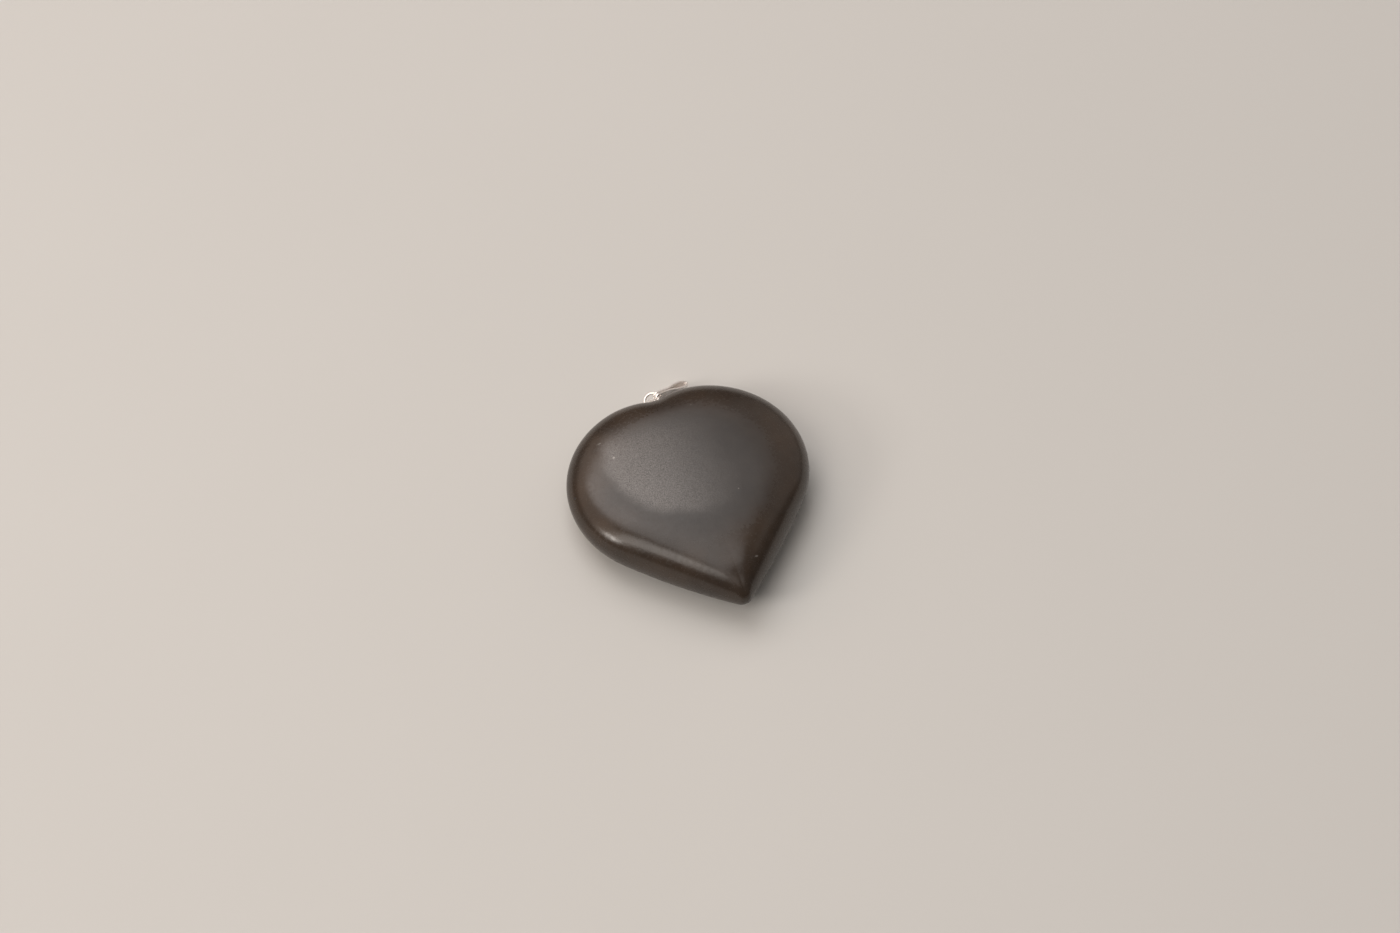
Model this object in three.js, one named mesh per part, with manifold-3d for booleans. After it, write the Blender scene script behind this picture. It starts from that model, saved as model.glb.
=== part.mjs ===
// Heart pendant: a thick, double-convex stone heart with a silver eye glued into its notch,
// and a folded silver bail that hangs on the eye by a small wire ring.
//
// Millimetres, +Z up. The pendant lies on its back. The origin is the centre of the small flat
// lapped on the back of the stone, +Y points from the heart's tip to its notch, and +X to the lobe
// that the bail lies behind.

import * as THREE from 'three';
import { mergeVertices } from 'three/addons/utils/BufferGeometryUtils.js';
import Module from 'manifold-3d';

const wasm = await Module();
wasm.setup();

const rad = THREE.MathUtils.degToRad;

// ---------------------------------------------------------------- driving dimensions

// Outline of the stone, seen from above: the right half, walked from the tip to the notch.
const FLANK_CORNER_Y = -23.72; // where the two flanks would meet if the tip weren't rounded
const FLANK_HEADING = 39.3; // direction of the flank as it leaves the tip, degrees from +X
const FLANK_RADIUS = 170;
const FLANK_TURN = 8.17;
const SIDE_RADIUS = 18.03;
const SIDE_TURN = 115;
const NOTCH_RADIUS = 4.9;
const NOTCH_TURN = 15.3; // how far each lobe passes the level before the notch turns it back
const TIP_BLEND = 1.35; // width of the blend that rounds the tip
const RIDGE_BLEND = 0.8; // how much wider that blend grows for each millimetre inwards

// Thickness of the stone.
const FRONT_HEIGHT = 6.35; // from the girdle to the top of the front
const BACK_LAP = 0.15; // how much the flat takes off the back
const SHOULDER_WIDTH = 10; // how far inwards the rounded shoulder reaches
const SHOULDER_POWER = 5;
const DOME = 0.42; // part of the height that the broad face loses at DOME_RADIUS
const DOME_RADIUS = 22.5;
const STONE_SECTORS = 80;
const SHOULDER_RINGS = 6;

// Drilled hole in the notch, and the silver eye on a ridged peg that is glued into it.
const HOLE_X = 0.15;
const HOLE_Z = 5;
const HOLE_RADIUS = 0.65;
const HOLE_DEPTH = 6; // from the bottom of the notch
const DRILL_POINT = 0.45;
const COUNTERSINK_RADIUS = 1.1;
const EYE_CENTRE_Y = 23;
const EYE_RADIUS = 0.95; // to the middle of the wire
const EYE_WIRE = 0.26;
const EYE_TWIST = 15; // the eye is turned about the peg by this much, +X side down
const PEG_RADIUS = 0.36;
const PEG_RIDGE = 0.1;
const PEG_RIDGES = 7;
const PEG_DEPTH = 5.3; // from the bottom of the notch
const GLUE_GAP = 0.04;

// Wire ring through the eye and the bail's feet.
const RING_REACH = 1.08; // from the middle of the eye to the middle of the ring, along +Y
const RING_RADIUS = 1.38; // to the middle of the wire
const RING_WIRE = 0.27;
const RING_TILT = 25; // its +X side is up by this much
const RING_CUT = 3; // the open joint in the wire, degrees
const RING_CUT_AT = 300;

// Bail: a tapered strip folded over, with a hole in each foot for the ring. It lies on edge.
const BAIL_AT = 8; // where on the ring the feet are, degrees
const BAIL_AZIMUTH = 22; // the way that it points, degrees from +X
const BAIL_PITCH = 32.1; // its slope down to the surface that the pendant lies on, degrees
const BAIL_LENGTH = 8.2; // from the holes in the feet to the outside of the fold
const BAIL_FOOT = 0.7; // from the holes to the end of a foot
const BAIL_SHEET = 0.38;
const BAIL_PINCH = 0.23; // from the bail's middle plane to the middle of a foot
const BAIL_BELLY = 0.76; // and to the middle of a leaf near the fold
const BAIL_FOOT_WIDTH = 1.45;
const BAIL_CREST_WIDTH = 2.7;
const BAIL_EARS = 0.25; // how far the corners of the fold stand past its middle
const BAIL_CROWN = 0.1; // how far a leaf bulges in the middle of its width
const BAIL_HOLE_RADIUS = 0.59;
const BAIL_STATIONS = 40;
const BAIL_COLUMNS = 6;

// ---------------------------------------------------------------- materials

const obsidian = new THREE.MeshStandardMaterial({ color: 0x2b2622, roughness: 0.3, metalness: 0 });
const silver = new THREE.MeshStandardMaterial({ color: 0xd8cdc4, roughness: 0.22, metalness: 1 });
const epoxy = new THREE.MeshStandardMaterial({ color: 0xd9cfae, roughness: 0.5, metalness: 0 });

// ---------------------------------------------------------------- helpers

function closedGeometry(positions, triangles) {
  const geometry = new THREE.BufferGeometry();
  geometry.setAttribute('position', new THREE.Float32BufferAttribute(positions, 3));
  geometry.setIndex(triangles);
  return geometry;
}

// Turns every face round if the skin's volume comes out negative.
function facingOut(geometry) {
  const points = geometry.attributes.position;
  const index = geometry.index.array;
  const corner = (i) => new THREE.Vector3().fromBufferAttribute(points, index[i]);
  let volume = 0;
  for (let i = 0; i < index.length; i += 3) {
    volume += corner(i).dot(corner(i + 1).cross(corner(i + 2)));
  }
  return volume < 0 ? geometry.setIndex(Array.from(index).reverse()) : geometry;
}

function toSolid(geometry) {
  const bare = geometry.clone();
  bare.deleteAttribute('normal');
  bare.deleteAttribute('uv');
  const merged = mergeVertices(bare, 1e-4);
  return new wasm.Manifold(new wasm.Mesh({
    numProp: 3,
    vertProperties: new Float32Array(merged.attributes.position.array),
    triVerts: new Uint32Array(merged.index.array),
  }));
}

function toGeometry(solid) {
  const mesh = solid.getMesh();
  return closedGeometry(Array.from(mesh.vertProperties), Array.from(mesh.triVerts));
}

// Joins rings of points, all with the same count, into one closed skin. Each end is either capped
// from its ring's middle, or the first and last ring are joined when the skin closes on itself.
function loft(rings, closesOnItself) {
  const count = rings[0].length;
  const positions = rings.flat().flatMap((p) => [p.x, p.y, p.z]);
  const triangles = [];
  const lastRing = closesOnItself ? rings.length : rings.length - 1;
  for (let i = 0; i < lastRing; i += 1) {
    const next = (i + 1) % rings.length;
    for (let j = 0; j < count; j += 1) {
      const k = (j + 1) % count;
      triangles.push(i * count + j, i * count + k, next * count + k);
      triangles.push(i * count + j, next * count + k, next * count + j);
    }
  }
  if (!closesOnItself) {
    for (const [ring, flip] of [[0, true], [rings.length - 1, false]]) {
      const middle = rings[ring].reduce((sum, p) => sum.add(p), new THREE.Vector3());
      middle.divideScalar(count);
      const hub = positions.length / 3;
      positions.push(middle.x, middle.y, middle.z);
      for (let j = 0; j < count; j += 1) {
        const a = ring * count + j;
        const b = ring * count + ((j + 1) % count);
        triangles.push(hub, flip ? b : a, flip ? a : b);
      }
    }
  }
  return facingOut(closedGeometry(positions, triangles));
}

function part(name, geometry, material) {
  const mesh = new THREE.Mesh(geometry, material);
  mesh.name = name;
  return mesh;
}

// ---------------------------------------------------------------- heart stone

// The right half of the outline as arcs that run into each other. A positive radius bulges
// outwards. Each arc keeps the range of directions, seen from its centre, that it covers.
function heartArcs() {
  const arcs = [];
  let x = 0;
  let y = FLANK_CORNER_Y;
  let heading = rad(FLANK_HEADING);
  const walk = (radius, turn) => {
    const cx = x - radius * Math.sin(heading);
    const cy = y + radius * Math.cos(heading);
    const end = heading + turn;
    const flip = radius > 0 ? 0 : Math.PI;
    const from = Math.min(heading, end) - Math.PI / 2 + flip;
    const to = Math.max(heading, end) - Math.PI / 2 + flip;
    arcs.push({ cx, cy, radius, from, to });
    x = cx + radius * Math.sin(end);
    y = cy - radius * Math.cos(end);
    heading = end;
  };
  walk(FLANK_RADIUS, rad(FLANK_TURN));
  walk(SIDE_RADIUS, rad(SIDE_TURN));
  // The lobe's radius is the one that brings the notch's arc to the centre line, level.
  const notchTurn = rad(NOTCH_TURN);
  const reach = x - NOTCH_RADIUS * Math.sin(notchTurn);
  const lobeRadius = reach / (Math.sin(heading) + Math.sin(notchTurn));
  walk(lobeRadius, Math.PI + notchTurn - heading);
  walk(-NOTCH_RADIUS, -notchTurn);
  return arcs;
}

const arcs = heartArcs();
const flank = arcs[0];

// Distance inwards from the outline. Near the tip the distances to the two flanks are blended,
// which rounds the tip and softens the ridge that runs inwards from it.
function inset(px, py) {
  const x = Math.abs(px);
  let near = Infinity;
  for (const arc of arcs) {
    const dx = x - arc.cx;
    const dy = py - arc.cy;
    const middle = (arc.from + arc.to) / 2;
    const away = Math.atan2(dy, dx) - middle;
    const offCentre = Math.abs(Math.atan2(Math.sin(away), Math.cos(away)));
    const reach = arc === flank ? Math.PI : (arc.to - arc.from) / 2 + 1e-9;
    if (offCentre <= reach) {
      const depth = Math.sign(arc.radius) * (Math.abs(arc.radius) - Math.hypot(dx, dy));
      near = Math.min(near, depth);
    }
  }
  const other = flank.radius - Math.hypot(-x - flank.cx, py - flank.cy);
  const blend = TIP_BLEND + RIDGE_BLEND * Math.max(0, Math.min(near, other));
  const overlap = Math.max(blend - Math.abs(near - other), 0);
  return Math.min(near, other) - (overlap * overlap) / (4 * blend);
}

// Height of the surface above the girdle.
function stoneHeight(x, y, depth) {
  const u = 1 - Math.min(Math.max(depth, 0), SHOULDER_WIDTH) / SHOULDER_WIDTH;
  const shoulder = Math.sqrt(1 - u ** SHOULDER_POWER);
  const dome = 1 - (DOME * (x * x + y * y)) / DOME_RADIUS ** 2;
  return FRONT_HEIGHT * shoulder * dome;
}

const GIRDLE_Z = FRONT_HEIGHT - BACK_LAP;

// Where a ray from the centre reaches a wanted value of a function that falls outwards.
function alongRay(angle, wanted, valueAt) {
  let low = 0;
  let high = 30;
  for (let i = 0; i < 50; i += 1) {
    const middle = (low + high) / 2;
    if (valueAt(middle * Math.cos(angle), middle * Math.sin(angle)) > wanted) {
      low = middle;
    } else {
      high = middle;
    }
  }
  return new THREE.Vector2(low * Math.cos(angle), low * Math.sin(angle));
}

// Directions of the sectors, closer together at the tip and at the notch.
function sectorAngles() {
  return Array.from({ length: STONE_SECTORS }, (_, i) => {
    const t = (2 * Math.PI * i) / STONE_SECTORS;
    return t - 0.3 * Math.sin(2 * t) - Math.PI / 2;
  });
}

function stoneGeometry() {
  const angles = sectorAngles();
  const levelRing = (depth, side) => angles.map((angle) => {
    const p = alongRay(angle, depth, inset);
    const height = Math.min(stoneHeight(p.x, p.y, depth), side < 0 ? GIRDLE_Z : Infinity);
    return new THREE.Vector3(p.x, p.y, GIRDLE_Z + side * height);
  });
  const shoulderDepths = Array.from({ length: SHOULDER_RINGS }, (_, i) => (
    SHOULDER_WIDTH * (1 - Math.cos((Math.PI / 2) * ((i + 1) / SHOULDER_RINGS)))
  ));
  const girdle = levelRing(0, 1).map((p) => p.setZ(GIRDLE_Z));
  const front = shoulderDepths.map((depth) => levelRing(depth, 1));
  const back = shoulderDepths.map((depth) => levelRing(depth, -1)).reverse();
  const faceRing = (share) => front[front.length - 1].map((p) => {
    const x = p.x * share;
    const y = p.y * share;
    return new THREE.Vector3(x, y, GIRDLE_Z + stoneHeight(x, y, SHOULDER_WIDTH));
  });
  const heightAt = (x, y) => stoneHeight(x, y, inset(x, y));
  const flatEdge = angles.map((angle) => {
    const p = alongRay(angle, GIRDLE_Z, heightAt);
    return new THREE.Vector3(p.x, p.y, 0);
  });
  return loft([flatEdge, ...back, girdle, ...front, faceRing(0.66), faceRing(0.33)], false);
}

const notchY = alongRay(Math.PI / 2, 0, inset).y;

// Turns a lathe or cylinder made along +Y into one that stands in the drilled hole, with its
// zero at the given distance below the notch.
function inHole(geometry, depth) {
  return geometry.translate(HOLE_X, notchY - depth, HOLE_Z);
}

function drillGeometry() {
  const profile = [
    [0, -DRILL_POINT],
    [HOLE_RADIUS, 0],
    [HOLE_RADIUS, HOLE_DEPTH - COUNTERSINK_RADIUS + HOLE_RADIUS],
    [COUNTERSINK_RADIUS, HOLE_DEPTH],
    [COUNTERSINK_RADIUS, HOLE_DEPTH + 2],
    [0, HOLE_DEPTH + 2],
  ].map(([r, y]) => new THREE.Vector2(r, y));
  return inHole(new THREE.LatheGeometry(profile, 24), HOLE_DEPTH);
}

// ---------------------------------------------------------------- peg with its eye

// A round wire bent along an arc of a circle about Z, between two angles in degrees.
function wireArc(radius, wire, from, to, steps) {
  const closed = to - from === 360;
  const rings = Array.from({ length: closed ? steps : steps + 1 }, (_, i) => {
    const turn = rad(from + ((to - from) * i) / steps);
    return Array.from({ length: 12 }, (unused, j) => {
      const t = (2 * Math.PI * j) / 12;
      const reach = radius + wire * Math.cos(t);
      const z = wire * Math.sin(t);
      return new THREE.Vector3(reach * Math.cos(turn), reach * Math.sin(turn), z);
    });
  });
  return loft(rings, closed);
}

function eyeGeometry() {
  const geometry = wireArc(EYE_RADIUS, EYE_WIRE, 0, 360, 32);
  geometry.rotateY(rad(EYE_TWIST));
  return geometry.translate(HOLE_X, EYE_CENTRE_Y, HOLE_Z);
}

function pegGeometry() {
  const top = EYE_CENTRE_Y - EYE_RADIUS - (notchY - PEG_DEPTH);
  const pitch = (PEG_DEPTH - 1.2) / PEG_RIDGES;
  const profile = [[0, 0], [PEG_RADIUS * 0.7, 0]];
  for (let i = 0; i < PEG_RIDGES; i += 1) {
    const y = 0.3 + i * pitch;
    profile.push([PEG_RADIUS, y]);
    profile.push([PEG_RADIUS + PEG_RIDGE, y + pitch * 0.5]);
    profile.push([PEG_RADIUS, y + pitch * 0.6]);
  }
  profile.push([PEG_RADIUS, top - EYE_WIRE]);
  profile.push([EYE_WIRE * 0.8, top]);
  profile.push([0, top]);
  const points = profile.map(([r, y]) => new THREE.Vector2(r, y));
  return inHole(new THREE.LatheGeometry(points, 16), PEG_DEPTH);
}

// ---------------------------------------------------------------- glue round the peg

function glueGeometry() {
  const outer = HOLE_RADIUS - GLUE_GAP;
  const inner = PEG_RADIUS + PEG_RIDGE + GLUE_GAP;
  const pegEnd = HOLE_DEPTH - PEG_DEPTH - 2 * GLUE_GAP;
  const top = HOLE_DEPTH - COUNTERSINK_RADIUS + HOLE_RADIUS;
  const profile = [
    [0, 0],
    [outer, 0],
    [outer, top],
    [inner, top - 0.15],
    [inner, pegEnd],
    [0, pegEnd],
  ].map(([r, y]) => new THREE.Vector2(r, y));
  return inHole(new THREE.LatheGeometry(profile, 24), HOLE_DEPTH - GLUE_GAP);
}

// ---------------------------------------------------------------- wire ring

const ringFrame = new THREE.Matrix4().makeRotationY(rad(-RING_TILT));
ringFrame.setPosition(HOLE_X, EYE_CENTRE_Y + RING_REACH, HOLE_Z);

function ringGeometry() {
  const from = RING_CUT_AT + RING_CUT / 2;
  const to = RING_CUT_AT + 360 - RING_CUT / 2;
  return wireArc(RING_RADIUS, RING_WIRE, from, to, 40).applyMatrix4(ringFrame);
}

// ---------------------------------------------------------------- bail

// One leaf's middle line in the bail's side view: x along the bail from the hole in the feet, y
// away from the bail's middle plane. It runs from the end of a foot to the outside of the fold.
const leafLine = [
  [-BAIL_FOOT, BAIL_PINCH],
  [2.2, BAIL_PINCH],
  [3.1, BAIL_PINCH * 1.3],
  [4.8, BAIL_BELLY * 0.85],
  [BAIL_LENGTH - 1.9, BAIL_BELLY],
  [BAIL_LENGTH - 0.75, BAIL_BELLY * 0.75],
  [BAIL_LENGTH - BAIL_SHEET / 2, 0],
];
const otherLeaf = leafLine.slice(0, -1).reverse().map(([x, y]) => [x, -y]);
const bailLine = new THREE.CatmullRomCurve3(
  [...leafLine, ...otherLeaf].map(([x, y]) => new THREE.Vector3(x, y, 0)),
  false,
  'centripetal',
);

function bailHalfWidth(x) {
  const share = THREE.MathUtils.clamp(x / BAIL_LENGTH, 0, 1);
  const taper = BAIL_FOOT_WIDTH + (BAIL_CREST_WIDTH - BAIL_FOOT_WIDTH) * share ** 0.9;
  const fromEnd = THREE.MathUtils.clamp((x + BAIL_FOOT) / BAIL_FOOT, 0, 1);
  return (taper / 2) * (0.35 + 0.65 * Math.sqrt(1 - (1 - fromEnd) ** 2));
}

// The folded strip in its own frame: x along the bail, y across the fold, z along its width.
function bailStrip() {
  const rings = Array.from({ length: BAIL_STATIONS + 1 }, (_, i) => {
    const share = i / BAIL_STATIONS;
    const middle = bailLine.getPointAt(share);
    const along = bailLine.getTangentAt(share);
    const outward = new THREE.Vector3(-along.y, along.x, 0);
    const half = bailHalfWidth(middle.x);
    const towardsFold = THREE.MathUtils.smoothstep(middle.x, 0, BAIL_LENGTH);
    const row = (column, side) => {
      const v = -1 + (2 * column) / BAIL_COLUMNS;
      const lift = (side * BAIL_SHEET) / 2 - BAIL_CROWN * v * v * towardsFold;
      const point = middle.clone().addScaledVector(outward, lift);
      point.x += BAIL_EARS * v * v * towardsFold;
      return point.setZ(v * half);
    };
    const columns = Array.from({ length: BAIL_COLUMNS + 1 }, (unused, column) => column);
    return [
      ...columns.map((column) => row(column, 1)),
      ...columns.reverse().map((column) => row(column, -1)),
    ];
  });
  return loft(rings, false);
}

function bailGeometry() {
  const punch = new THREE.CylinderGeometry(BAIL_HOLE_RADIUS, BAIL_HOLE_RADIUS, 3, 20);
  const strip = toSolid(bailStrip()).subtract(toSolid(punch));
  const frame = new THREE.Matrix4().makeRotationZ(rad(BAIL_AZIMUTH));
  frame.multiply(new THREE.Matrix4().makeRotationY(rad(BAIL_PITCH)));
  const at = rad(BAIL_AT);
  const hole = new THREE.Vector3(RING_RADIUS * Math.cos(at), RING_RADIUS * Math.sin(at), 0);
  frame.setPosition(hole.applyMatrix4(ringFrame));
  return toGeometry(strip).applyMatrix4(frame);
}

// ---------------------------------------------------------------- the assembly

const stone = toSolid(stoneGeometry()).subtract(toSolid(drillGeometry()));
const pegEye = toSolid(eyeGeometry()).add(toSolid(pegGeometry()));

const pendant = new THREE.Group();
pendant.add(part('heart_stone', toGeometry(stone), obsidian));
pendant.add(part('peg_eye', toGeometry(pegEye), silver));
pendant.add(part('peg_glue', glueGeometry(), epoxy));
pendant.add(part('jump_ring', ringGeometry(), silver));
pendant.add(part('bail', bailGeometry(), silver));

export default pendant;
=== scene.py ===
import math

import bpy
import numpy as np
from mathutils import Matrix, Vector


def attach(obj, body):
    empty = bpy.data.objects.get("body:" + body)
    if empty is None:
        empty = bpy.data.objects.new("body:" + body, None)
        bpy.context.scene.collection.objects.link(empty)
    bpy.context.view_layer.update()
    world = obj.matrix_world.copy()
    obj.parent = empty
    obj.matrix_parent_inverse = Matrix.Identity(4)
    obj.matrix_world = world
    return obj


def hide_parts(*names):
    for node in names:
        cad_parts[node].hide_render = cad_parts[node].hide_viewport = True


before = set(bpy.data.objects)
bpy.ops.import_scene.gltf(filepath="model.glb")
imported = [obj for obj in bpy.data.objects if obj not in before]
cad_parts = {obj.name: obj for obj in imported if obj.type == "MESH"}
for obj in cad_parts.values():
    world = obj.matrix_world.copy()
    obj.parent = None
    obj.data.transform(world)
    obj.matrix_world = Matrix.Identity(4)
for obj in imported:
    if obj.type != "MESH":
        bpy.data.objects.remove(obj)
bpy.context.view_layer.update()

MM = 0.001
rad = math.radians

# ------------------------------------------------------------------ driving dimensions, mm

# Outline of the stone: the right half as arcs, walked from the tip to the notch.
FLANK_CORNER_Y = -23.72  # where the flanks would meet without the blend at the tip
FLANK_HEADING = 39.3  # degrees from +X
FLANK_RADIUS = 170
FLANK_TURN = 8.17  # degrees
SIDE_RADIUS = 18.03
SIDE_TURN = 115
NOTCH_RADIUS = 4.9
NOTCH_TURN = 15.3
TIP_BLEND = 1.35  # width over which the two flanks blend at the outline
RIDGE_BLEND = 0.8  # and how much wider that gets for each mm inwards

# Profile of the stone.
FRONT_HEIGHT = 6.35
BACK_LAP = 0.15  # what the small flat takes off the back
GIRDLE_Z = FRONT_HEIGHT - BACK_LAP
SHOULDER_WIDTH = 10
SHOULDER_POWER = 5
DOME = 0.42  # share of its height that the face loses at DOME_RADIUS
DOME_RADIUS = 22.5
STONE_SECTORS = 420
SHOULDER_RINGS = 44
FACE_RINGS = 26
LAP_EDGE = 0.25  # how softly the flat on the back runs into the stone's curve

# The drilled hole, along Y from the bottom of the notch, and the adhesive in it.
HOLE_X = 0.15
HOLE_Z = 5
HOLE_RADIUS = 0.65
HOLE_DEPTH = 6
DRILL_POINT = 0.45
COUNTERSINK_RADIUS = 1.1
COUNTERSINK_START = HOLE_DEPTH - COUNTERSINK_RADIUS + HOLE_RADIUS  # above the hole's bottom
GLUE_GAP = 0.04
GLUE_BORE = 0.02  # how much wider than the peg its inside is
GLUE_HOLLOW = 0.13  # how deep the meniscus is
GLUE_FLOOR = 0.1  # how far the adhesive's inside is below the peg's end, plus GLUE_GAP

EYE_CENTRE_Y = 23
EYE_RADIUS = 0.95
EYE_WIRE = 0.26  # radius of the wire
EYE_TWIST = 15  # degrees about the peg
PEG_RADIUS = 0.36
PEG_RIDGE = 0.1
PEG_RIDGES = 7
PEG_LEAD = 0.3  # from the peg's end to its first ridge
PEG_PLAIN = 1.2  # length of the peg that has no ridges
PEG_DEPTH = 5.3
RIDGE_SHAPE = ((0, 0), (0.42, 0.85), (0.5, 1), (0.6, 0))  # shares of the pitch and the height
NECK_SHAPE = ((1, 1.6), (0.92, 1), (0.86, 0.5))  # of the peg's radius, and wires below the top

RING_REACH = 1.08  # from the eye's centre to the ring's
RING_RADIUS = 1.38
RING_WIRE = 0.27  # radius of the wire
RING_TILT = 25  # degrees, with the bail's side up
RING_CUT = 3  # degrees
RING_CUT_AT = 300  # degrees from +X

WIRE_END = 0.06  # length over which a cut end of wire is rounded
WIRE_END_SHAPE = ((0, 0.06), (0.3, 0.018), (1, 0))  # share of that length, and loss of radius

BAIL_AT = 8  # where on the ring the feet are, degrees
BAIL_AZIMUTH = 22  # the way that it points, degrees from +X
BAIL_PITCH = 32.1  # its slope down to the floor, degrees
BAIL_LENGTH = 8.2  # from the holes in the feet to the outside of the fold
BAIL_FOOT = 0.7  # from the holes to the end of a foot
BAIL_SHEET = 0.38
BAIL_PINCH = 0.23  # from the bail's middle plane to the middle of a foot
BAIL_BELLY = 0.76  # and to the middle of a leaf near the fold
BAIL_FOOT_WIDTH = 1.45
BAIL_CREST_WIDTH = 2.7
BAIL_TAPER_POWER = 0.9
BAIL_EARS = 0.25  # how far the corners of the fold stand past its middle
BAIL_CROWN = 0.1  # how far a leaf bulges in the middle of its width
BAIL_EDGE = BAIL_SHEET * 0.32  # radius of the strip's long edges
BAIL_HOLE_RADIUS = 0.59
BAIL_STATIONS = 150

AXIS_RADIUS = 0.02  # a turned solid's ends start this far from its axis


# ------------------------------------------------------------------ mesh helpers

def new_piece(name, points, faces):
    """A smooth mesh piece from points in mm, in the part's frame."""
    mesh = bpy.data.meshes.new(name)
    mesh.from_pydata([tuple(float(c) * MM for c in p) for p in points], [], faces)
    mesh.validate()
    mesh.polygons.foreach_set("use_smooth", [True] * len(mesh.polygons))
    piece = bpy.data.objects.new(name, mesh)
    bpy.context.scene.collection.objects.link(piece)
    return piece


def loft(rings, closed=False):
    """Points and faces of a skin over rings of points; open ends are capped by a fan."""
    rings = [np.asarray(r, float) for r in rings]
    count = len(rings[0])
    points = [p for ring in rings for p in ring]
    faces = []
    for i in range(len(rings) if closed else len(rings) - 1):
        a = i * count
        b = ((i + 1) % len(rings)) * count
        for j in range(count):
            k = (j + 1) % count
            faces.append((a + j, a + k, b + k, b + j))
    if not closed:
        for ring, order in ((0, -1), (len(rings) - 1, 1)):
            hub = len(points)
            points.append(rings[ring].mean(0))
            for j in range(count):
                pair = (ring * count + j, ring * count + (j + 1) % count)
                faces.append((hub, *pair[::order]))
    return points, faces


def lathe(profile, sectors):
    """A solid turned about Y from (radius, y) points, its ends closed on the axis."""
    turns = np.linspace(0, 2 * math.pi, sectors, endpoint=False)
    rings = [np.stack([r * np.cos(turns), np.full(sectors, y), r * np.sin(turns)], 1)
             for r, y in profile]
    return loft(rings)


def apply_modifiers(piece):
    """Makes what the piece's modifiers show its own mesh."""
    shown = piece.evaluated_get(bpy.context.evaluated_depsgraph_get())
    mesh = bpy.data.meshes.new_from_object(shown)
    piece.modifiers.clear()
    piece.data = mesh


def face_out(piece):
    """Turns the faces round if they enclose a negative volume."""
    mesh = piece.data
    mesh.calc_loop_triangles()
    co = np.array([v.co for v in mesh.vertices])
    tri = np.array([t.vertices for t in mesh.loop_triangles])
    volume = np.einsum("ij,ij->i", co[tri[:, 0]], np.cross(co[tri[:, 1]], co[tri[:, 2]])).sum()
    if volume < 0:
        mesh.flip_normals()


def carve(piece, cutter):
    """Cuts one piece's shape out of another, and removes the cutter."""
    cut = piece.modifiers.new("cut", "BOOLEAN")
    cut.operation = "DIFFERENCE"
    cut.solver = "EXACT"
    cut.object = cutter
    apply_modifiers(piece)
    bpy.data.objects.remove(cutter)


def crease(piece, degrees):
    """Shades the edges that are sharper than an angle as sharp."""
    piece.data.set_sharp_from_angle(angle=rad(degrees))


# ------------------------------------------------------------------ the stone

def heart_arcs():
    """Each arc's centre, radius (negative where the outline is hollow), middle and half angle."""
    arcs = []
    x, y, heading = 0.0, float(FLANK_CORNER_Y), rad(FLANK_HEADING)

    def walk(radius, turn):
        nonlocal x, y, heading
        cx = x - radius * math.sin(heading)
        cy = y + radius * math.cos(heading)
        end = heading + turn
        flip = 0 if radius > 0 else math.pi
        low = min(heading, end) - math.pi / 2 + flip
        high = max(heading, end) - math.pi / 2 + flip
        arcs.append((cx, cy, radius, (low + high) / 2, (high - low) / 2 + 1e-9))
        x = cx + radius * math.sin(end)
        y = cy - radius * math.cos(end)
        heading = end

    walk(FLANK_RADIUS, rad(FLANK_TURN))
    walk(SIDE_RADIUS, rad(SIDE_TURN))
    notch_turn = rad(NOTCH_TURN)
    reach = x - NOTCH_RADIUS * math.sin(notch_turn)
    lobe_radius = reach / (math.sin(heading) + math.sin(notch_turn))
    walk(lobe_radius, math.pi + notch_turn - heading)
    walk(-NOTCH_RADIUS, -notch_turn)
    arcs[0] = (*arcs[0][:4], math.pi)  # the flank counts all round, past the tip too
    return arcs


ARCS = heart_arcs()


def inset(x, y):
    """Distance inwards from the outline, blended across the ridge at the tip."""
    side = np.abs(x)
    near = np.full(np.shape(side), np.inf)
    for cx, cy, radius, middle, reach in ARCS:
        dx, dy = side - cx, y - cy
        away = np.arctan2(dy, dx) - middle
        off_centre = np.abs(np.arctan2(np.sin(away), np.cos(away)))
        depth = math.copysign(1, radius) * (abs(radius) - np.hypot(dx, dy))
        near = np.where(off_centre <= reach, np.minimum(near, depth), near)
    cx, cy, radius = ARCS[0][:3]
    other = radius - np.hypot(-side - cx, y - cy)
    least = np.minimum(near, other)
    blend = TIP_BLEND + RIDGE_BLEND * np.maximum(0, least)
    overlap = np.maximum(blend - np.abs(near - other), 0)
    return least - overlap ** 2 / (4 * blend)


def stone_height(x, y, depth):
    """Height of the front above the girdle."""
    u = 1 - np.clip(depth, 0, SHOULDER_WIDTH) / SHOULDER_WIDTH
    dome = 1 - DOME * (x * x + y * y) / DOME_RADIUS ** 2
    return FRONT_HEIGHT * np.sqrt(1 - u ** SHOULDER_POWER) * dome


def along_rays(angles, wanted):
    """Where rays from the middle come to a distance inside the outline, by halving."""
    low = np.zeros(len(angles))
    high = np.full(len(angles), 30.0)  # mm, well outside the stone
    for _ in range(44):
        middle = (low + high) / 2
        inside = inset(middle * np.cos(angles), middle * np.sin(angles)) > wanted
        low = np.where(inside, middle, low)
        high = np.where(inside, high, middle)
    return low * np.cos(angles), low * np.sin(angles)


def lapped(height):
    """Height of the back below the girdle, run softly into the small flat."""
    overlap = np.maximum(LAP_EDGE - np.abs(height - GIRDLE_Z), 0)
    return np.minimum(np.minimum(height, GIRDLE_Z) - overlap ** 2 / (4 * LAP_EDGE), GIRDLE_Z)


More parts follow.
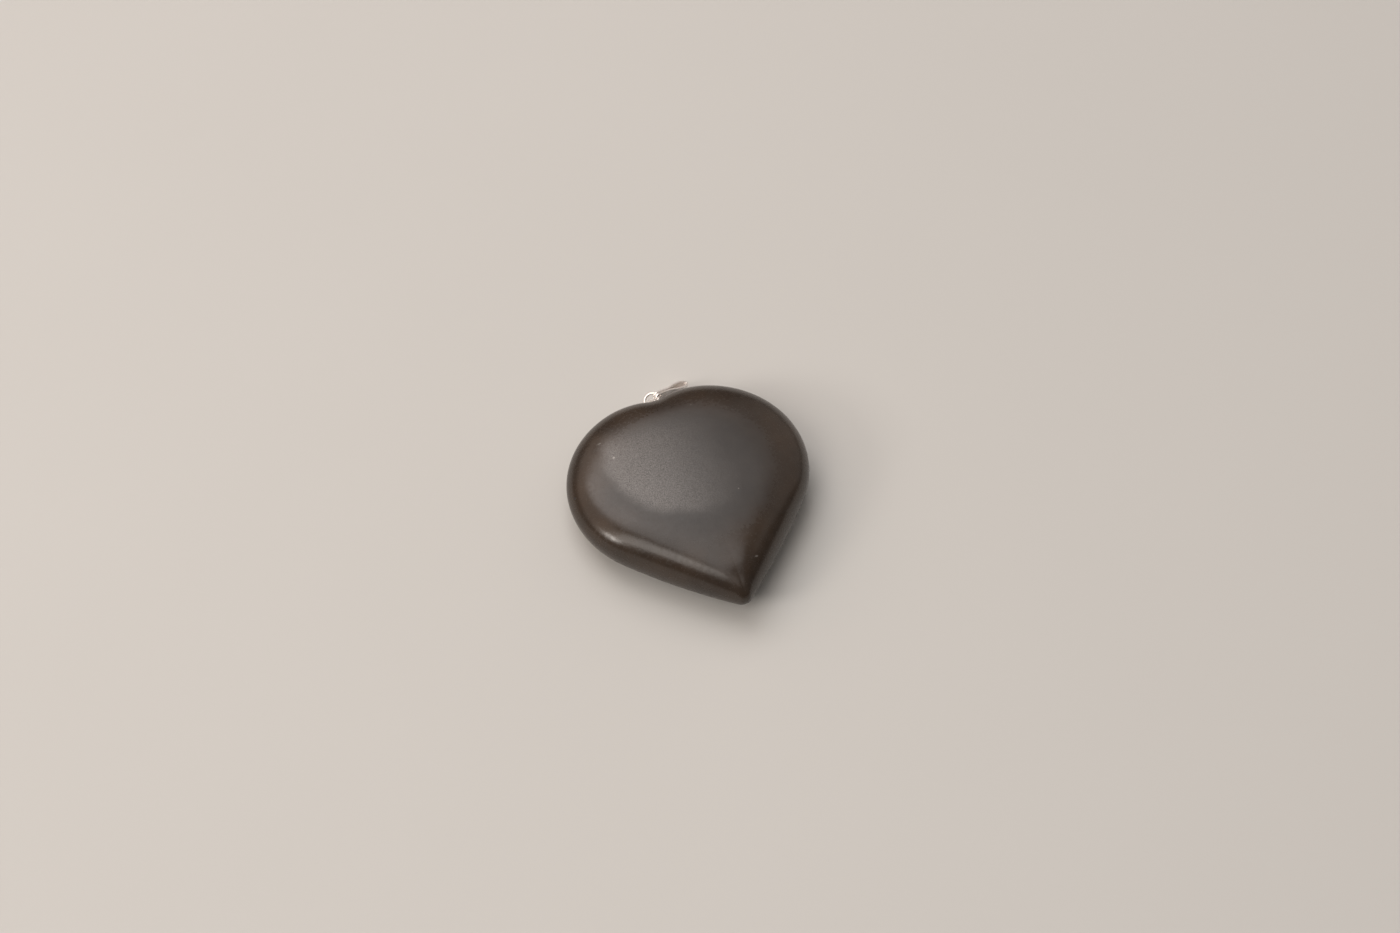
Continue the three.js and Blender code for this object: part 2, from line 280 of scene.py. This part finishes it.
def make_stone():
    # the rays stand closer together at the tip and the notch
    t = np.arange(STONE_SECTORS) * 2 * math.pi / STONE_SECTORS
    angles = t - 0.3 * np.sin(2 * t) - math.pi / 2
    plan = []
    for i in range(SHOULDER_RINGS + 1):
        depth = SHOULDER_WIDTH * (1 - math.cos(math.pi / 2 * i / SHOULDER_RINGS))
        plan.append((*along_rays(angles, depth), depth))
    rim = plan[-1]
    for i in range(1, FACE_RINGS):
        share = 1 - i / FACE_RINGS
        plan.append((rim[0] * share, rim[1] * share, SHOULDER_WIDTH))

    def ring(x, y, depth, side):
        height = stone_height(x, y, depth)
        height = height if side > 0 else -lapped(height)
        return np.stack([x, y, GIRDLE_Z + height], 1)

    front = [ring(x, y, depth, 1) for x, y, depth in plan]
    back = [ring(x, y, depth, -1) for x, y, depth in plan[1:]]
    stone = new_piece("stone_polished", *loft([*back[::-1], *front]))
    face_out(stone)
    notch_y = float(along_rays(np.array([math.pi / 2]), 0.0)[1][0])
    return stone, notch_y


def in_hole(points, notch_y, depth):
    """Moves points from about the Y axis into the hole, to a depth below the notch."""
    return [(p[0] + HOLE_X, p[1] + notch_y - depth, p[2] + HOLE_Z) for p in points]


def make_drill(notch_y):
    """The cutter for the hole and its countersink, with a broken edge between them."""
    profile = [(0.01, -DRILL_POINT), (HOLE_RADIUS, 0), (HOLE_RADIUS, COUNTERSINK_START - 0.08),
               (HOLE_RADIUS + 0.03, COUNTERSINK_START + 0.01),
               (COUNTERSINK_RADIUS, HOLE_DEPTH), (COUNTERSINK_RADIUS, HOLE_DEPTH + 2)]
    points, faces = lathe(profile, 72)
    drill = new_piece("drill", in_hole(points, notch_y, HOLE_DEPTH), faces)
    face_out(drill)
    return drill


# ------------------------------------------------------------------ wire and fittings

def wire_arc(radius, wire, start, stop, steps, around=28):
    """A round wire bent about Z; an open one gets lightly rounded ends."""
    turns = np.radians(np.linspace(start, stop, steps + 1))
    closed = stop - start == 360
    stations = [(turn, wire) for turn in (turns[:-1] if closed else turns)]
    if not closed:
        ease = WIRE_END / radius
        first = [(turns[0] + share * ease, wire - loss) for share, loss in WIRE_END_SHAPE]
        last = [(turns[-1] - share * ease, wire - loss) for share, loss in WIRE_END_SHAPE[::-1]]
        stations = [*first, *stations[1:-1], *last]
    t = np.linspace(0, 2 * math.pi, around, endpoint=False)
    rings = []
    for turn, thick in stations:
        reach = radius + thick * np.cos(t)
        ring = np.stack([reach * math.cos(turn), reach * math.sin(turn), thick * np.sin(t)], 1)
        rings.append(ring)
    return loft(rings, closed)


def make_peg_eye(notch_y):
    """The eye and its ridged peg, as one piece of metal."""
    points, faces = wire_arc(EYE_RADIUS, EYE_WIRE, 0, 360, 72)
    centre = Matrix.Translation((HOLE_X, EYE_CENTRE_Y, HOLE_Z))
    place = centre @ Matrix.Rotation(rad(EYE_TWIST), 4, "Y")
    points = [tuple(place @ Vector(p)) for p in points]
    top = EYE_CENTRE_Y - EYE_RADIUS - (notch_y - PEG_DEPTH)
    pitch = (PEG_DEPTH - PEG_PLAIN) / PEG_RIDGES
    profile = [(AXIS_RADIUS, 0), (PEG_RADIUS * 0.6, 0), (PEG_RADIUS * 0.75, 0.04)]
    for i in range(PEG_RIDGES):
        y = PEG_LEAD + i * pitch
        profile += [(PEG_RADIUS + PEG_RIDGE * rise, y + pitch * share)
                    for share, rise in RIDGE_SHAPE]
    profile += [(PEG_RADIUS * share, top - EYE_WIRE * below) for share, below in NECK_SHAPE]
    profile += [(EYE_WIRE * 0.8, top), (AXIS_RADIUS, top)]
    shank_points, shank_faces = lathe(profile, 40)
    offset = len(points)
    points += in_hole(shank_points, notch_y, PEG_DEPTH)
    faces += [tuple(i + offset for i in face) for face in shank_faces]
    piece = new_piece("peg_with_eye", points, faces)
    face_out(piece)
    crease(piece, 40)
    return piece


def make_glue(notch_y):
    """Cured adhesive round the peg, with a hollow meniscus that climbs the shank."""
    outer = HOLE_RADIUS - GLUE_GAP
    inner = PEG_RADIUS + GLUE_BORE
    top = COUNTERSINK_START - 0.02
    floor_y = HOLE_DEPTH - PEG_DEPTH - GLUE_FLOOR
    profile = [(AXIS_RADIUS, 0), (outer, 0), (outer, COUNTERSINK_START - 0.1), (outer + 0.02, top)]
    for i in range(7):
        share = i / 6
        sag = GLUE_HOLLOW * math.sin(math.pi * share)
        profile.append((outer + (inner - outer) * share, top - sag))
    profile += [(inner, floor_y), (AXIS_RADIUS, floor_y)]
    points, faces = lathe(profile, 48)
    piece = new_piece("glue_fill", in_hole(points, notch_y, HOLE_DEPTH - GLUE_GAP), faces)
    face_out(piece)
    crease(piece, 50)
    return piece


RING_CENTRE = Matrix.Translation((HOLE_X, EYE_CENTRE_Y + RING_REACH, HOLE_Z))
RING_FRAME = RING_CENTRE @ Matrix.Rotation(-rad(RING_TILT), 4, "Y")


def make_ring():
    """The jump ring, with its joint a little open."""
    start = RING_CUT_AT + RING_CUT / 2
    points, faces = wire_arc(RING_RADIUS, RING_WIRE, start, start + 360 - RING_CUT, 108)
    piece = new_piece("ring_wire", [tuple(RING_FRAME @ Vector(p)) for p in points], faces)
    face_out(piece)
    crease(piece, 45)
    return piece


# ------------------------------------------------------------------ the bail

def bail_line(count):
    """Middle line of the folded strip: points and unit tangents, evenly spaced."""
    # one leaf, from its foot to the fold: along the bail, and out from its middle plane
    leaf = [(-BAIL_FOOT, BAIL_PINCH), (2.2, BAIL_PINCH), (3.1, BAIL_PINCH * 1.3),
            (4.8, BAIL_BELLY * 0.85), (BAIL_LENGTH - 1.9, BAIL_BELLY),
            (BAIL_LENGTH - 0.75, BAIL_BELLY * 0.75), (BAIL_LENGTH - BAIL_SHEET / 2, 0)]
    knots = np.array(leaf + [(x, -y) for x, y in leaf[-2::-1]])
    # a centripetal Catmull-Rom curve goes through both leaves
    ends = [2 * knots[0] - knots[1], *knots, 2 * knots[-1] - knots[-2]]
    dense = []
    for i in range(1, len(ends) - 2):
        p0, p1, p2, p3 = ends[i - 1:i + 3]
        spans = ((p0, p1), (p1, p2), (p2, p3))
        t0, t1, t2 = (math.sqrt(np.linalg.norm(b - a)) for a, b in spans)
        m1 = ((p1 - p0) / t0 - (p2 - p0) / (t0 + t1) + (p2 - p1) / t1) * t1
        m2 = ((p2 - p1) / t1 - (p3 - p1) / (t1 + t2) + (p3 - p2) / t2) * t1
        for u in np.linspace(0, 1, 60, endpoint=False):
            dense.append((2 * u ** 3 - 3 * u ** 2 + 1) * p1 + (u ** 3 - 2 * u ** 2 + u) * m1
                         + (3 * u ** 2 - 2 * u ** 3) * p2 + (u ** 3 - u ** 2) * m2)
    dense = np.array(dense + [knots[-1]])
    run = np.r_[0, np.cumsum(np.linalg.norm(np.diff(dense, axis=0), axis=1))]
    even = np.linspace(0, run[-1], count)
    points = np.stack([np.interp(even, run, dense[:, k]) for k in (0, 1)], 1)
    tangents = np.gradient(points, axis=0)
    return points, tangents / np.linalg.norm(tangents, axis=1)[:, None]


def bail_half_width(x):
    """Half of the strip's width: it tapers to the feet, whose ends are rounded."""
    share = min(max(x / BAIL_LENGTH, 0), 1)
    taper = BAIL_FOOT_WIDTH + (BAIL_CREST_WIDTH - BAIL_FOOT_WIDTH) * share ** BAIL_TAPER_POWER
    from_end = min(max((x + BAIL_FOOT) / BAIL_FOOT, 0), 1)
    return taper / 2 * (0.35 + 0.65 * math.sqrt(1 - (1 - from_end) ** 2))


def strip_section(half):
    """Section of the strip: v across its width and s through its thickness, edges eased."""
    top = [(v * (half - BAIL_EDGE), BAIL_SHEET / 2) for v in np.linspace(-1, 1, 13)]
    corner = [(half - BAIL_EDGE + BAIL_EDGE * math.sin(a),
               BAIL_SHEET / 2 - BAIL_EDGE + BAIL_EDGE * math.cos(a))
              for a in np.linspace(0, math.pi / 2, 5)[1:]]
    upper = top + corner
    lower = [(v, -s) for v, s in upper[::-1]]
    left = [(-v, -s) for v, s in corner] + [(-v, s) for v, s in corner[::-1]]
    return upper + lower + left


def make_bail():
    """The folded strip, with a hole through both feet, laid where the photo shows it."""
    points, tangents = bail_line(BAIL_STATIONS)
    rings = []
    for (px, py), (tx, ty) in zip(points, tangents):
        half = bail_half_width(px)
        fold = min(max(px / BAIL_LENGTH, 0), 1)
        fold = fold * fold * (3 - 2 * fold)
        ring = []
        for v, s in strip_section(half):
            across = v / half
            lift = s - BAIL_CROWN * across ** 2 * fold
            ring.append((px - ty * lift + BAIL_EARS * across ** 2 * fold, py + tx * lift, v))
        rings.append(ring)
    strip = new_piece("bail_strip", *loft(rings))
    face_out(strip)
    reach = 1.5
    punch = new_piece("punch", *lathe([(0.01, -reach), (BAIL_HOLE_RADIUS, -reach),
                                       (BAIL_HOLE_RADIUS, reach), (0.01, reach)], 48))
    face_out(punch)
    carve(strip, punch)
    at = rad(BAIL_AT)
    hole = RING_FRAME @ Vector((RING_RADIUS * math.cos(at), RING_RADIUS * math.sin(at), 0))
    turn = Matrix.Rotation(rad(BAIL_AZIMUTH), 4, "Z") @ Matrix.Rotation(rad(BAIL_PITCH), 4, "Y")
    strip.data.transform(Matrix.Translation(hole * MM) @ turn)
    crease(strip, 38)
    return strip


# ------------------------------------------------------------------ material helpers

class Nodes:
    """Adds shader nodes to a material in a few words."""

    def __init__(self, name):
        self.material = bpy.data.materials.new(name)
        self.material.use_nodes = True
        self.tree = self.material.node_tree
        self.shader = self.tree.nodes["Principled BSDF"]
        place = self.tree.nodes.new("ShaderNodeTexCoord")
        scaled = self.add("ShaderNodeVectorMath", operation="SCALE")
        self.link(place.outputs["Object"], scaled.inputs[0])
        scaled.inputs["Scale"].default_value = 1 / MM
        self.mm = scaled.outputs[0]

    def add(self, kind, **settings):
        node = self.tree.nodes.new(kind)
        for key, value in settings.items():
            setattr(node, key, value)
        return node

    def link(self, out, socket):
        self.tree.links.new(out, socket)

    def set(self, socket, value):
        """Feeds a socket from another one, or gives it a value."""
        if isinstance(value, bpy.types.NodeSocket):
            self.link(value, socket)
        else:
            socket.default_value = value

    def stretched(self, stretch, turn):
        """The place in mm, scaled along each axis and turned about Z."""
        node = self.add("ShaderNodeMapping")
        self.link(self.mm, node.inputs["Vector"])
        node.inputs["Scale"].default_value = stretch
        node.inputs["Rotation"].default_value = (0, 0, rad(turn))
        return node.outputs[0]

    def noise(self, scale, detail=3, rough=0.5, vector=None):
        node = self.add("ShaderNodeTexNoise")
        self.link(vector or self.mm, node.inputs["Vector"])
        node.inputs["Scale"].default_value = scale
        node.inputs["Detail"].default_value = detail
        node.inputs["Roughness"].default_value = rough
        return node.outputs["Fac"]

    def cells(self, scale):
        """Distance to the nearest of many scattered points, in their own scale."""
        node = self.add("ShaderNodeTexVoronoi")
        self.link(self.mm, node.inputs["Vector"])
        node.inputs["Scale"].default_value = scale
        return node.outputs["Distance"]

    def ramp(self, value, low, high, to_low=0.0, to_high=1.0):
        """A smooth step from one value to another."""
        node = self.add("ShaderNodeMapRange", interpolation_type="SMOOTHSTEP")
        self.set(node.inputs["Value"], value)
        node.inputs["From Min"].default_value = low
        node.inputs["From Max"].default_value = high
        node.inputs["To Min"].default_value = to_low
        node.inputs["To Max"].default_value = to_high
        return node.outputs[0]

    def math(self, operation, a, b):
        node = self.add("ShaderNodeMath", operation=operation)
        self.set(node.inputs[0], a)
        self.set(node.inputs[1], b)
        return node.outputs[0]

    def axis(self, index):
        """One coordinate of the place in mm."""
        node = self.add("ShaderNodeSeparateXYZ")
        self.link(self.mm, node.inputs[0])
        return node.outputs[index]

    def mix(self, share, a, b):
        node = self.add("ShaderNodeMix", data_type="RGBA")
        factor, first, second, result = 0, 6, 7, 2  # colour sockets share their names, so by number
        self.set(node.inputs[factor], share)
        self.set(node.inputs[first], a)
        self.set(node.inputs[second], b)
        return node.outputs[result]

    def plan_distance(self, x, y):
        """Distance in plan from an upright line."""
        offset = self.add("ShaderNodeVectorMath", operation="SUBTRACT")
        self.link(self.mm, offset.inputs[0])
        offset.inputs[1].default_value = (x, y, 0)
        flat = self.add("ShaderNodeVectorMath", operation="MULTIPLY")
        self.link(offset.outputs[0], flat.inputs[0])
        flat.inputs[1].default_value = (1, 1, 0)
        length = self.add("ShaderNodeVectorMath", operation="LENGTH")
        self.link(flat.outputs[0], length.inputs[0])
        return length.outputs["Value"]

    def spot(self, centre, radius, stretch, turn):
        """1 at a place on the surface, falling to 0 at its radius; stretch narrows an axis."""
        offset = self.add("ShaderNodeVectorMath", operation="SUBTRACT")
        self.link(self.mm, offset.inputs[0])
        offset.inputs[1].default_value = centre
        turned = self.add("ShaderNodeMapping")
        self.link(offset.outputs[0], turned.inputs["Vector"])
        turned.inputs["Scale"].default_value = stretch
        turned.inputs["Rotation"].default_value = (0, 0, rad(turn))
        length = self.add("ShaderNodeVectorMath", operation="LENGTH")
        self.link(turned.outputs[0], length.inputs[0])
        return self.ramp(length.outputs["Value"], radius * 0.55, radius, 1.0, 0.0)

    def bump(self, height, distance, strength=1.0, onto=None):
        """A normal from a height; the distance is in mm."""
        node = self.add("ShaderNodeBump")
        self.set(node.inputs["Height"], height)
        self.set(node.inputs["Strength"], strength)
        node.inputs["Distance"].default_value = distance * MM
        if onto is not None:
            self.link(onto, node.inputs["Normal"])
        return node.outputs[0]


def wear(piece, material):
    """Gives a piece its only material."""
    piece.data.materials.clear()
    piece.data.materials.append(material)


# ------------------------------------------------------------------ materials

def on_front(x, y):
    """The point of the front face above a place in plan."""
    return (x, y, GIRDLE_Z + float(stone_height(x, y, inset(np.array(x), np.array(y)))))


def stone_material():
    n = Nodes("stone_dark_polish")
    # the broad face is satin; inside a round edge it has fine pits, and a pale patch of painted
    # sheen, most on the left, stands for the light they catch
    patchy = n.ramp(n.noise(0.3, 3, 0.5), 0.3, 0.7, -0.35, 0.35)
    face = n.ramp(n.math("ADD", n.plan_distance(0, 3), patchy), 17.5, 10.5)
    pits_and_painted_sheen = n.ramp(n.math("ADD", n.plan_distance(0.4, 8.6), patchy), 16.0, 13.0)
    pits_and_painted_sheen = n.math("MULTIPLY", pits_and_painted_sheen, n.ramp(n.axis(0), 9, -13))
    pits_and_painted_sheen = n.math("MULTIPLY", pits_and_painted_sheen, n.ramp(n.axis(1), 19, 11))

    clouds = n.ramp(n.noise(0.10, 3, 0.55), 0.35, 0.7)
    fine = n.ramp(n.noise(0.55, 4, 0.6), 0.3, 0.75)
    speckle = n.ramp(n.noise(5, 3, 0.65), 0.36, 0.64, 0.3, 1.0)
    # the shoulders' warm brown is partly the stone's own tone and partly a painted warm reflection
    # from below
    shoulder_tone_and_painted_reflection = n.mix(clouds, (0.028, 0.0185, 0.0125, 1), (0.044, 0.0285, 0.0185, 1))
    satin = n.mix(clouds, (0.026, 0.0215, 0.0190, 1), (0.034, 0.0285, 0.0255, 1))
    base = n.mix(face, shoulder_tone_and_painted_reflection, satin)
    base = n.mix(n.math("MULTIPLY", fine, 0.3), base, (0.042, 0.034, 0.028, 1))
    # painted sheen: pale grey laid on the left of the face, where the pits catch the light
    base = n.mix(n.math("MULTIPLY", pits_and_painted_sheen, speckle), base, (0.175, 0.162, 0.155, 1))

    # the relief is a slow swell all over, and a fine grain with pits on the face
    pits = n.ramp(n.cells(3.4), 0.06, 0.26)
    grain = n.noise(5.0, 3, 0.65)
    swells = n.noise(0.16, 2, 0.5)
    rough = n.ramp(n.noise(1.6, 4, 0.6), 0.3, 0.7, 0.0, 0.08)
    rough = n.math("ADD", rough, n.ramp(face, 0.0, 0.8, 0.21, 0.35))
    texture = n.math("ADD", grain, n.math("MULTIPLY", pits, 0.6))
    normal = n.bump(swells, 0.05)
    normal = n.bump(texture, 0.012, n.ramp(face, 0.45, 1.0, 0.08, 0.85), normal)

    # a few larger open pits in the patch of painted sheen, darkened inside with painted shade
    few = n.ramp(n.noise(0.8, 2, 0.5), 0.5, 0.6)
    open_pits = n.math("MULTIPLY", few, pits_and_painted_sheen)
    open_pits = n.math("MULTIPLY", n.ramp(n.cells(1.7), 0.19, 0.12), open_pits)
    # painted shade inside the open pits
    base = n.mix(n.math("MULTIPLY", open_pits, 0.85), base, (0.012, 0.010, 0.009, 1))
    normal = n.bump(n.math("SUBTRACT", 1.0, open_pits), 0.03, 1.0, normal)

    # small marks of wear: a white speck, light nicks and a chip, whose hollow is darkened with
    # painted shade
    round_spot = (1, 1, 1)
    pale = n.spot(on_front(-12.1, 10.9), 0.28, round_spot, 0)
    for place, radius, stretch, turn in (((-13.3, 15.2), 0.25, (0.5, 1.6, 1), 60),
                                         ((4.3, -17.2), 0.22, (0.45, 1.5, 1), 80),
                                         ((6.1, -4.1), 0.16, round_spot, 0),
                                         ((5.1, 16.7), 0.13, round_spot, 0)):
        nick = n.math("MULTIPLY", n.spot(on_front(*place), radius, stretch, turn), 0.4)
        pale = n.math("MAXIMUM", pale, nick)
    chip = n.spot(on_front(-21.2, 6.8), 0.3, round_spot, 0)
    base = n.mix(n.math("MULTIPLY", pale, 0.75), base, (0.42, 0.40, 0.38, 1))
    # painted shade in the chip's hollow
    base = n.mix(n.math("MULTIPLY", chip, 0.9), base, (0.004, 0.003, 0.003, 1))
    rough = n.math("ADD", rough, n.math("MULTIPLY", n.math("MAXIMUM", pale, chip), 0.3))
    normal = n.bump(n.math("SUBTRACT", 1.0, chip), 0.05, 1.0, normal)

    n.set(n.shader.inputs["Base Color"], base)
    n.set(n.shader.inputs["Roughness"], rough)
    n.set(n.shader.inputs["Normal"], normal)
    n.shader.inputs["IOR"].default_value = 1.5
    return n.material


def silver_material():
    n = Nodes("silver_bright")
    tarnish = n.ramp(n.noise(0.9, 4, 0.6), 0.45, 0.75)
    base = n.mix(tarnish, (0.98, 0.94, 0.91, 1), (0.86, 0.79, 0.73, 1))
    n.set(n.shader.inputs["Base Color"], base)
    scratches = n.noise(9, 3, 0.6, n.stretched((0.3, 0.3, 3), 30))
    n.set(n.shader.inputs["Roughness"], n.ramp(scratches, 0.3, 0.75, 0.40, 0.58))
    normal = n.bump(n.noise(1.1, 2, 0.5), 0.02)
    n.set(n.shader.inputs["Normal"], n.bump(scratches, 0.004, 0.5, normal))
    n.shader.inputs["Metallic"].default_value = 1
    return n.material


def glue_material():
    n = Nodes("glue_clear_amber")
    base = n.mix(n.noise(1.5, 2), (0.55, 0.46, 0.27, 1), (0.72, 0.64, 0.44, 1))
    n.set(n.shader.inputs["Base Color"], base)
    n.set(n.shader.inputs["Roughness"], n.ramp(n.noise(2.5, 3), 0.3, 0.7, 0.15, 0.35))
    n.set(n.shader.inputs["Normal"], n.bump(n.noise(1.2, 2), 0.03))
    return n.material


def floor_material():
    n = Nodes("floor_pale")
    base = n.mix(n.noise(0.004, 2), (0.55, 0.54, 0.52, 1), (0.58, 0.57, 0.55, 1))
    n.set(n.shader.inputs["Base Color"], base)
    n.set(n.shader.inputs["Roughness"], n.ramp(n.noise(0.02, 3), 0.3, 0.7, 0.75, 0.85))
    return n.material


# ------------------------------------------------------------------ building the pieces

stone, notch_y = make_stone()
carve(stone, make_drill(notch_y))
crease(stone, 35)
peg = make_peg_eye(notch_y)
glue = make_glue(notch_y)
ring = make_ring()
bail = make_bail()

stone_look = stone_material()
silver_look = silver_material()
glue_look = glue_material()
for piece, node, body, slot, look in (
    (stone, "heart_stone", "pendant", "stone", stone_look),
    (peg, "peg_eye", "pendant", "silver", silver_look),
    (glue, "peg_glue", "pendant", "glue", glue_look),
    (ring, "jump_ring", "ring", "silver", silver_look),
    (bail, "bail", "bail", "silver", silver_look),
):
    wear(piece, look)
    wear(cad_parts[node], look)
    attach(piece, body)
    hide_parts(node)

# ------------------------------------------------------------------ floor, light and camera

FLOOR_REACH = 4000  # mm
LIGHT_DISTANCE = 1.2  # m
CAMERA_AT = (-106.35, -270.04, 463.9)  # mm
CAMERA_AIM = (2.851, 6.420, 6.2)  # mm

corners = [(x * FLOOR_REACH, y * FLOOR_REACH, 0) for x, y in ((-1, -1), (1, -1), (1, 1), (-1, 1))]
floor = new_piece("floor", corners, [(0, 1, 2, 3)])
wear(floor, floor_material())


def softbox(name, azimuth, elevation, wide, high, brightness, tint):
    """A soft panel that faces the object. Azimuth counts from +X; wide and high are angles."""
    a, e = rad(azimuth), rad(elevation)
    away = Vector((math.cos(e) * math.cos(a), math.cos(e) * math.sin(a), math.sin(e)))
    light = bpy.data.lights.new(name, "AREA")
    light.shape = "RECTANGLE"
    light.size = 2 * LIGHT_DISTANCE * math.tan(rad(wide) / 2)
    light.size_y = 2 * LIGHT_DISTANCE * math.tan(rad(high) / 2)
    light.energy = brightness * math.pi * light.size * light.size_y
    light.color = tint
    panel = bpy.data.objects.new(name, light)
    panel.location = away * LIGHT_DISTANCE
    panel.rotation_euler = (-away).to_track_quat("-Z", "Y").to_euler()
    panel.visible_camera = False
    bpy.context.scene.collection.objects.link(panel)


# the panels stand where the highlights on the stone show the photo's windows and ceiling
softbox("back", 95, 55, 44, 28, 2.65, (1, 0.96, 0.94))
softbox("overhead", 110, 83, 36, 36, 1.9, (1, 0.96, 0.93))
softbox("window_left", 203, 50, 30, 26, 3.3, (1, 0.94, 0.88))
softbox("window_low", 187, 28, 15, 12, 14, (1, 0.93, 0.86))
softbox("left_fill", 138, 38, 74, 36, 0.94, (1, 0.78, 0.64))
softbox("front_fill", 250, 64, 44, 20, 0.9, (1, 0.93, 0.87))
softbox("right_fill", 25, 32, 60, 50, 0.42, (1, 0.86, 0.76))

world = bpy.data.worlds.new("room")
world.use_nodes = True
world.node_tree.nodes["Background"].inputs["Color"].default_value = (0.08, 0.08, 0.08, 1)
bpy.context.scene.world = world

camera_data = bpy.data.cameras.new("camera")
camera_data.sensor_width = 36
camera_data.lens = 77.14
camera_data.clip_start = 0.01
camera_data.clip_end = 50
camera = bpy.data.objects.new("camera", camera_data)
camera.location = Vector(CAMERA_AT) * MM
aim = Vector(CAMERA_AIM) * MM
camera.rotation_euler = (aim - camera.location).to_track_quat("-Z", "Y").to_euler()
bpy.context.scene.collection.objects.link(camera)
bpy.context.scene.camera = camera

bpy.context.scene.view_settings.view_transform = "Standard"
